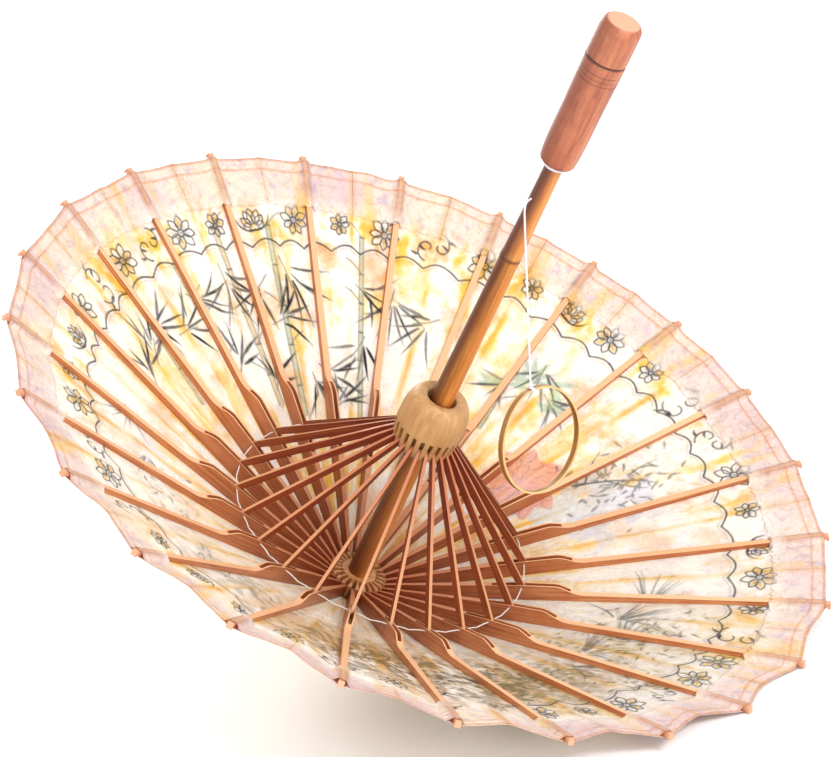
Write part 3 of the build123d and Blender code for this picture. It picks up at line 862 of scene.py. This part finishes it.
# soft foliage: many small dabs of grey green and ochre
for azimuth, radius, spread, count, tone in (
    (-33, 0.196, 0.020, 220, srgb(150, 148, 96)), (-48, 0.190, 0.018, 200, srgb(186, 152, 70)),
    (-20, 0.186, 0.015, 130, srgb(170, 150, 84)), (10, 0.196, 0.018, 110, srgb(206, 176, 84)),
    (-66, 0.192, 0.018, 170, srgb(196, 166, 90)), (0, 0.170, 0.016, 90, srgb(214, 182, 88)),
    (-10, 0.226, 0.012, 60, srgb(204, 178, 96)),
    (-95, 0.180, 0.014, 50, srgb(160, 176, 180)), (240, 0.180, 0.014, 40, srgb(190, 180, 150)),
    (60, 0.205, 0.012, 40, srgb(206, 196, 150)),
):
    spot = Spot(azimuth, radius)
    for _ in range(count):
        start = rng.normal(0, spread, 2)
        angle = rng.uniform(-2.2, 2.2)
        leaf(spot, start, angle, rng.uniform(0.004, 0.010), 0.0028, 0.4, 0.42, tone)
        if rng.random() < 0.45:
            leaf(spot, start, angle, rng.uniform(0.003, 0.008), 0.0013, 0.4, 0.60)

# one full blossom with layered petals, on a bare branch
blossom = Spot(74, 0.138, 20, 1.0)
for reach, petals, tone in (
    (0.031, 9, srgb(238, 168, 160)), (0.024, 8, srgb(232, 128, 128)),
    (0.016, 7, srgb(224, 96, 104)), (0.009, 5, srgb(240, 160, 150)),
):
    for k in range(petals):
        turn = 2 * pi * (k + 0.5 * (petals % 2)) / petals + rng.normal(0, 0.08)
        middle = (0.6 * reach * sin(turn), 0.6 * reach * cos(turn))
        leaf(blossom, (0, 0), turn, reach, 0.62 * reach, 0.15, 0.7, tone)
        edge = curve(middle, turn + 1.3, 0.42 * reach, -1.6, 6)
        blossom.line(edge, 0.0006, 0.35)
branch = Spot(66, 0.165, 0, 1.0)
for start, angle, length, bend, width in (
    ((0, 0), 0.3, 0.055, 0.5, 0.0022), ((0.008, 0.02), 1.2, 0.030, -0.6, 0.0014),
    ((0.014, 0.034), -0.5, 0.024, 0.7, 0.0012), ((0.002, 0.008), -1.0, 0.028, 0.5, 0.0014),
):
    branch.line(curve(start, angle, length, bend), np.linspace(width, 0.0005, 9), 0.72)
for _ in range(60):
    start = rng.normal((0.012, 0.026), (0.016, 0.018))
    leaf(branch, start, rng.uniform(-3, 3), rng.uniform(0.004, 0.009), 0.002, 0.3, 0.5)
for azimuth, radius, tone in ((62, 0.150, srgb(214, 224, 238)), (57, 0.172, srgb(222, 226, 240))):
    spot = Spot(azimuth, radius)
    for _ in range(26):
        leaf(spot, rng.normal(0, 0.012, 2), rng.uniform(-3, 3), 0.020, 0.010, 0.3, 0.55, tone)

# the paper's own colour, with washes of yellow and orange, and in one low region an ochre wash
# under painted shade
patches = 0.55 * cloud(0.050) + 0.30 * cloud(0.022) + 0.15 * cloud(0.009)
streaks = 0.6 * polar_cloud(150, 0.040) + 0.4 * polar_cloud(330, 0.017)
mottle = 0.6 * cloud(0.006) + 0.4 * cloud(0.0028)
warm_side = 0.5 + 0.5 * np.cos(plan_angle - radians(125))
crease = np.abs(np.mod(plan_angle / PITCH, 1.0) - 0.5) * 2      # 0 at a rib, 1 at a mid crease
crease_line = bell((1 - crease) * plan_radius * PITCH / 2, 0.0030)
rib_line = bell(crease * plan_radius * PITCH / 2, 0.0060)
band = bell(plan_radius - border_radius(plan_angle), 0.0150)
ragged_wash = 0.42 * patches + 0.36 * streaks + 0.22 * mottle
yellow = (
    above(ragged_wash, 0.50, 5) * (0.12 + 0.80 * warm_side)
    + band * (0.32 + 0.62 * warm_side) * above(0.7 * streaks + 0.3 * mottle, 0.50, 5)
    + rib_line * 0.55 * np.clip(streaks * 4.0 - 1.9, 0, 1)
    + crease_line * 0.65 * np.clip(streaks * 3.0 - 1.0, 0, 1)
)
orange = (
    above(0.75 * cloud(0.022) + 0.25 * mottle, 0.63, 4) * (0.15 + 0.65 * warm_side)
    + crease_line * 0.55 * np.clip(streaks * 3.4 - 1.6, 0, 1)
    + band * 0.55 * above(0.7 * patches + 0.3 * mottle, 0.53, 5)
)
# one region low on the canopy, round -50 degrees: an ochre wash, with a dark grey-green wash over
# it that is painted shade
ochre_and_shade = bell(np.mod(plan_angle + radians(50) + pi, 2 * pi) - pi, 0.72)
ochre_and_shade = ochre_and_shade * bell(plan_radius - 0.188, 0.050)
painting = np.empty((PLAN, PLAN, 3))
painting[:] = srgb(254, 250, 243)[:3]


def wash_over(amount, colour):
    share = np.clip(amount, 0, 1)[..., None]
    painting[:] = painting * (1 - share) + np.array(colour[:3]) * share


wash_over(above(cloud(0.007), 0.5, 1.6) * 0.6, srgb(236, 230, 240))
wash_over(yellow * 0.82, srgb(252, 220, 108))
wash_over(orange * 0.72, srgb(238, 172, 78))
wash_over(ochre_and_shade * above(ragged_wash, 0.36, 6) * 0.90, srgb(208, 154, 60))
# painted shade: the dark grey-green wash over that region
wash_over(ochre_and_shade * above(mottle, 0.47, 6) * 0.72, srgb(112, 106, 84))
wash_over(tint_share * 0.92, (0, 0, 0, 1))
painting += tint * np.clip(tint_share * 0.92, 0, 1)[..., None]
wash_over(ink * (0.86 + 0.30 * cloud(0.004)), srgb(44, 42, 50))


def sample(layer, x, y):
    """The layer's values at points of the plan, between its cells."""
    u = np.clip(x / PLAN_STEP + PLAN / 2 - 0.5, 0, PLAN - 1.001)
    v = np.clip(y / PLAN_STEP + PLAN / 2 - 0.5, 0, PLAN - 1.001)
    i, j = u.astype(int), v.astype(int)
    return blended(layer, i, i + 1, j, (u - i)[..., None], (v - j)[..., None])


hem_share = np.stack([patches, streaks, crease_line, mottle], -1)


def hem_paint(x, y, radius, rim, aside):
    """Colours of the hem strip at points of the plan, aside metres from the rib below it."""
    clouds = sample(hem_share, x, y)
    ground = sample(painting, x, y)
    colour = np.empty((*x.shape, 3))
    colour[:] = srgb(246, 228, 220)[:3]

    def over(share, tone):
        share = np.clip(share, 0, 1)[..., None]
        colour[:] = colour * (1 - share) + np.array(srgb(*tone)[:3]) * share

    over((clouds[..., 0] - 0.46) * 3.0, (250, 238, 218))
    over((0.5 - clouds[..., 0]) * 2.4, (232, 206, 210))
    over((clouds[..., 1] - 0.60) * 3.0, (250, 216, 150))
    over((clouds[..., 3] - 0.58) * 3.0, (222, 204, 216))
    over(clouds[..., 2] * (0.10 + 0.75 * clouds[..., 1]), (240, 190, 126))
    for inset, strength in ((0.0085, 0.60), (0.0010, 0.85)):
        over(bell(rim - radius - inset, 0.0007) * strength, (222, 144, 84))
    # the rib shows through the paper that is stuck to it
    over(np.clip((0.0030 - aside) / 0.0008, 0, 1) * 0.75, (226, 172, 132))
    over(bell(aside - 0.0030, 0.0007) * 0.75, (186, 116, 84))
    near = np.clip((radius - HEM_FROM + 0.004) / 0.016, 0, 1)[..., None]
    return ground * (1 - near) + colour * near


# --- the oiled paper ---
def oiled_paper(name, glow, crumple, crease_shade):
    """Thin oiled paper: painted colour, fibres, crumples with painted shade in the fine creases,
    and light coming through it.
    """
    made, tree, shader, output = new_material(name, Specular_IOR_Level=0.35)
    paint = add_node(tree, "ShaderNodeAttribute", attribute_name="paint").outputs["Color"]
    at = umbrella_space(tree)
    fibre = noise(tree, at["Position"], 420.0, 5.0, 0.7, 1.2)
    polar = vector(tree, at["Radius"], at["Angle"], 0.0)
    folds = noise(tree, stretched(tree, polar, (36.0, 26.0, 0.0)), 1.0, 5.0, 0.62, 0.5)
    cockle = noise(tree, at["Position"], crumple, 4.0, 0.6, 0.8)
    fleck = noise(tree, stretched(tree, polar, (150.0, 78.0, 0.0)), 1.0, 5.0, 0.72, 0.8)
    # fine creases lie where a noise crosses its middle value
    crinkle = noise(tree, at["Position"], 75.0, 6.0, 0.62, 0.9)
    crinkle = ranged(tree, gap(tree, crinkle, 0.5), 0.0, 0.020, 1.0, 0.0)
    warm = ranged(tree, fleck, 0.56, 0.70, 0.0, 0.42)
    cool = ranged(tree, fleck, 0.44, 0.32, 0.0, 0.40)
    colour = shaded(tree, warm, paint, srgb(252, 214, 150))
    # painted shade: the fine creases are darkened in the colour
    colour = shaded(tree, times(tree, crinkle, crease_shade), colour, srgb(236, 200, 176))
    colour = shaded(tree, cool, colour, srgb(206, 204, 226))
    colour = shaded(tree, scaled(tree, fibre, 0.0, 0.22), colour, srgb(226, 212, 196))
    relief = maths(tree, "MULTIPLY_ADD", cockle, 0.7, times(tree, folds, 0.9))
    relief = maths(tree, "MULTIPLY_ADD", fibre, 0.12, relief)
    relief = maths(tree, "MULTIPLY_ADD", crinkle, 0.05, relief)
    normal = bumped(tree, relief, 0.8, 0.0026)
    dress(tree, shader, colour, scaled(tree, cockle, 0.42, 0.68), normal)
    through = add_node(tree, "ShaderNodeBsdfTranslucent", {"Color": colour, "Normal": normal})
    both = add_node(
        tree, "ShaderNodeMixShader", {0: glow, 1: shader.outputs[0], 2: through.outputs[0]}
    ).outputs[0]
    tree.links.new(both, output.inputs[0])
    return made


paper = oiled_paper("oiled_paper", glow=0.42, crumple=150.0, crease_shade=0.20)
hem_paper = oiled_paper("hem_paper", glow=0.30, crumple=190.0, crease_shade=0.50)

# how far the rim draws in between two ribs: deeper where the paper has sagged
panel_scallop = rng.uniform(0.0, 0.0018, RIBS + 1)
panel_scallop[16:24] = (0.0035, 0.0065, 0.0080, 0.0090, 0.0080, 0.0095, 0.0100, 0.0085)
panel_scallop[RIBS] = panel_scallop[0] = 0.0070
panel_scallop[1] = 0.0040
panel_lift = rng.uniform(0.0024, 0.0042, RIBS + 1)
panel_lift[RIBS] = panel_lift[0] = 0.0012
wrinkle_waves = [
    (rng.uniform(18, 75), rng.uniform(20, 130), rng.uniform(0, 2 * pi), rng.uniform(0.3, 1.0))
    for _ in range(14)
]


def panel_and_share(number, offset):
    """The panel at an angle from a rib, and the share of the way from the rib to its crease."""
    return np.where(offset >= 0, number % RIBS, number - 1), np.abs(offset) / (PITCH / 2)


def rim_radius(number, offset):
    """Where the paper ends, at an angle from a rib."""
    panel, share = panel_and_share(number, offset)
    return RIM - panel_scallop[panel] * np.sin(share * pi / 2) ** 1.6


def paper_points(number, offset, radius):
    """Middle surface of the paper near a rib, flat from rib to rib and lifted at the crease."""
    panel, share = panel_and_share(number, offset)
    reach = radius * cos(PITCH / 2) / np.cos(PITCH / 2 - np.abs(offset))
    height = paper_height(radius) + panel_lift[panel] * share**1.7 * (radius / RIM) ** 1.3
    azimuth = rib_azimuth(number) + offset
    ripple = np.zeros_like(radius)
    for turns, rate, phase, weight in wrinkle_waves:
        ripple += weight * np.sin(np.round(turns) * azimuth + rate * radius + phase)
    height = height + 0.00016 * ripple * np.sin(share * pi / 2) * (radius / RIM)
    return np.stack([reach * np.cos(azimuth), reach * np.sin(azimuth), height], -1)


def grid_normals(points):
    """Unit normals of a grid of points, towards the handle."""
    normal = np.cross(np.gradient(points, axis=1), np.gradient(points, axis=0))
    normal /= np.maximum(np.linalg.norm(normal, axis=-1, keepdims=True), 1e-12)
    return normal * np.sign(normal[..., 2:3])


def paint_mesh(piece, colours):
    """Writes the colours of a grid on both faces of its sheet."""
    flat = colours.reshape(-1, 3)
    both = np.ones((2 * len(flat), 4), np.float32)
    both[: len(flat), :3] = both[len(flat) :, :3] = flat
    layer = piece.data.color_attributes.new("paint", "FLOAT_COLOR", "POINT")
    layer.data.foreach_set("color", both.ravel())


def fold_with_rib(piece, number):
    """The piece turns with its rib, and gets a mesh of its own."""
    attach(piece, f"rib_{number:02d}")
    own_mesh(piece)


ROWS, COLUMNS = ((340, 91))
HEM_ROWS, HEM_COLUMNS = 30, 61
HEM_GAP = 0.0005            # from the paper's middle surface to the hem's
for number in range(1, RIBS + 1):
    offset = np.linspace(-PITCH / 2, PITCH / 2, COLUMNS)
    azimuth = rib_azimuth(number) + offset
    rim = rim_radius(number, offset)
    share = np.linspace(0, 1, ROWS)[:, None] ** 0.8
    radius = CROWN + share * (rim[None, :] - CROWN)
    offsets = np.broadcast_to(offset, radius.shape)
    points = paper_points(number, offsets, radius)
    gore = grid_sheet(
        f"canopy_gore_{number:02d}", place(points), grid_normals(points) @ turn_to_row.T, PAPER
    )
    plan_at = np.cos(azimuth) * radius, np.sin(azimuth) * radius
    colours = sample(painting, *plan_at)
    # the outer edge is the hem's colour on both faces
    aside = np.abs(radius * np.sin(offset))
    hem_part = np.clip((radius - HEM_FROM + 0.004) / 0.0015 + 0.5, 0, 1)[..., None]
    colours = colours * (1 - hem_part) + hem_paint(*plan_at, radius, rim, aside) * hem_part
    paint_mesh(gore, colours)
    gore.data.materials.append(paper)
    fold_with_rib(gore, number)
    if number == 1:
        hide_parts("canopy", "canopy_hem")

    # the hem strip, glued down over the rib's end
    offset = np.linspace(-PITCH / 2, PITCH / 2, HEM_COLUMNS)
    azimuth = rib_azimuth(number) + offset
    rim = rim_radius(number, offset)
    ragged = 0.0009 * np.sin(9 * offset * RIBS + number) + 0.0006 * np.sin(23 * offset * RIBS)
    ragged = ragged * np.cos(offset / PITCH * pi)
    inner = HEM_FROM + ragged
    share = np.linspace(0, 1, HEM_ROWS)[:, None]
    radius = inner + share * (rim - 0.0003 - inner)[None, :]
    points = paper_points(number, np.broadcast_to(offset, radius.shape), radius)
    normals = grid_normals(points)
    aside = np.abs(radius * np.sin(offset))
    ridge = 1 - eased(np.clip((aside - 0.0024) / 0.0042, 0, 1))
    rib_depth = 0.0052 - (radius - 0.150) / 0.150 * 0.0018
    points = points + normals * (HEM_GAP + ridge * (rib_depth + 0.0001))[..., None]
    hem = grid_sheet(
        f"hem_{number:02d}", place(points), grid_normals(points) @ turn_to_row.T, HEM
    )
    plan_at = np.cos(azimuth) * radius, np.sin(azimuth) * radius
    paint_mesh(hem, hem_paint(*plan_at, radius, rim, aside))
    hem.data.materials.append(hem_paper)
    fold_with_rib(hem, number)

    # the thread through the knees, from the middle of one span to the middle of the next
    half_span = KNEE_RADIUS * tan(PITCH / 2) * 0.985
    centre = rib_azimuth(number)
    path = []
    for t in np.linspace(-1, 1, 21):
        out = KNEE_RADIUS - 0.00088 * abs(t)
        side = half_span * t
        sag = 0.0006 * sin(pi * min(1, abs(t) * 1.05)) - 0.0004 * abs(t)
        x = out * cos(centre) - side * sin(centre)
        y = out * sin(centre) + side * cos(centre)
        path.append((x, y, KNEE_HEIGHT + sag))
    knee_thread = tube(f"knee_thread_{number:02d}", place(path), 0.00045, 8)
    knee_thread.data.materials.append(thread_cotton)
    fold_with_rib(knee_thread, number)
    if number == 1:
        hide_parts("knee_thread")

# --- small thread pieces ---
# the string's two turns round the ring's strip, side by side
ring_axis = Vector((cos(RING_AZIMUTH), sin(RING_AZIMUTH), 0))
loop_middle = Vector((*PLUMB, RING_TOP_HEIGHT - 0.0007))
for number, shift in enumerate((-0.0007, 0.0007), 1):
    loop_across = Vector((-ring_axis.y, ring_axis.x, 0)) * shift
    loop_path = []
    for t in np.linspace(0, 2 * pi, 32, endpoint=False):
        wide = float(0.0032 * np.sign(cos(t)) * abs(cos(t)) ** 0.5)
        high = float(0.00135 * np.sign(sin(t)) * abs(sin(t)) ** 0.6)
        loop_path.append(loop_middle + loop_across + ring_axis * wide + Vector((0, 0, high)))
    loop = tube(f"ring_loop_{number}", loop_path, STRING / 2 * 0.9, closed=True)
    loop.data.materials.append(string_cotton)
    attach(loop, "ring")

# the binding under the grip, wound round the shaft's neck
BINDING_TURNS, BINDING_PITCH = 3.2, 0.00125
BINDING_RADIUS, BINDING_HEIGHT = 0.00722, 0.36640
binding_path = []
for t in np.linspace(0, BINDING_TURNS, 100):
    x, y = BINDING_RADIUS * cos(2 * pi * t), BINDING_RADIUS * sin(2 * pi * t)
    binding_path.append((x, y, BINDING_HEIGHT + BINDING_PITCH * t))
binding = tube("grip_binding", place(binding_path), 0.00064, 8)
binding.data.materials.append(string_cotton)
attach(binding, "root")

# --- floor and light ---
FLOOR_HEIGHT = -0.0004
floor_corners = [(x, y, FLOOR_HEIGHT) for x, y in ((-9, -9), (9, -9), (9, 9), (-9, 9))]
floor = mesh_object("floor", floor_corners, [(0, 1, 2, 3)])
floor_material, floor_tree, floor_shader, _ = new_material("floor_white", Roughness=0.9)
floor_colour = ramp(
    floor_tree, noise(floor_tree, coordinates(floor_tree)["Object"], 3.0),
    (0.3, (0.95, 0.95, 0.95, 1.0)), (0.7, (0.97, 0.97, 0.97, 1.0)),
)
floor_tree.links.new(floor_colour, floor_shader.inputs["Base Color"])
floor.data.materials.append(floor_material)

world = bpy.data.worlds.new("studio")
world.use_nodes = True
background = world.node_tree.nodes["Background"].inputs
background["Color"].default_value = (1.0, 0.99, 0.975, 1)
bpy.context.scene.world = world

LIT_AT = Vector((0, 0, 0.15))
for name, position, size, power in (
    ("key", (2.2, -0.6, 2.2), 0.9, 50),
    ("fill", (-0.4, -2.4, 1.8), 2.0, 16),
    ("through", (-1.9, 1.5, 0.9), 1.2, 46),
    ("through_low", (1.2, -2.0, 0.25), 1.0, 16),
):
    light = bpy.data.lights.new(name, "AREA")
    light.size, light.energy = size, power
    softbox = add_object(name, light)
    softbox.location = position
    softbox.rotation_mode = "QUATERNION"
    softbox.rotation_quaternion = (LIT_AT - Vector(position)).to_track_quat("-Z", "Y")
bpy.context.scene.view_settings.view_transform = "Standard"
bpy.context.scene.view_settings.look = "None"
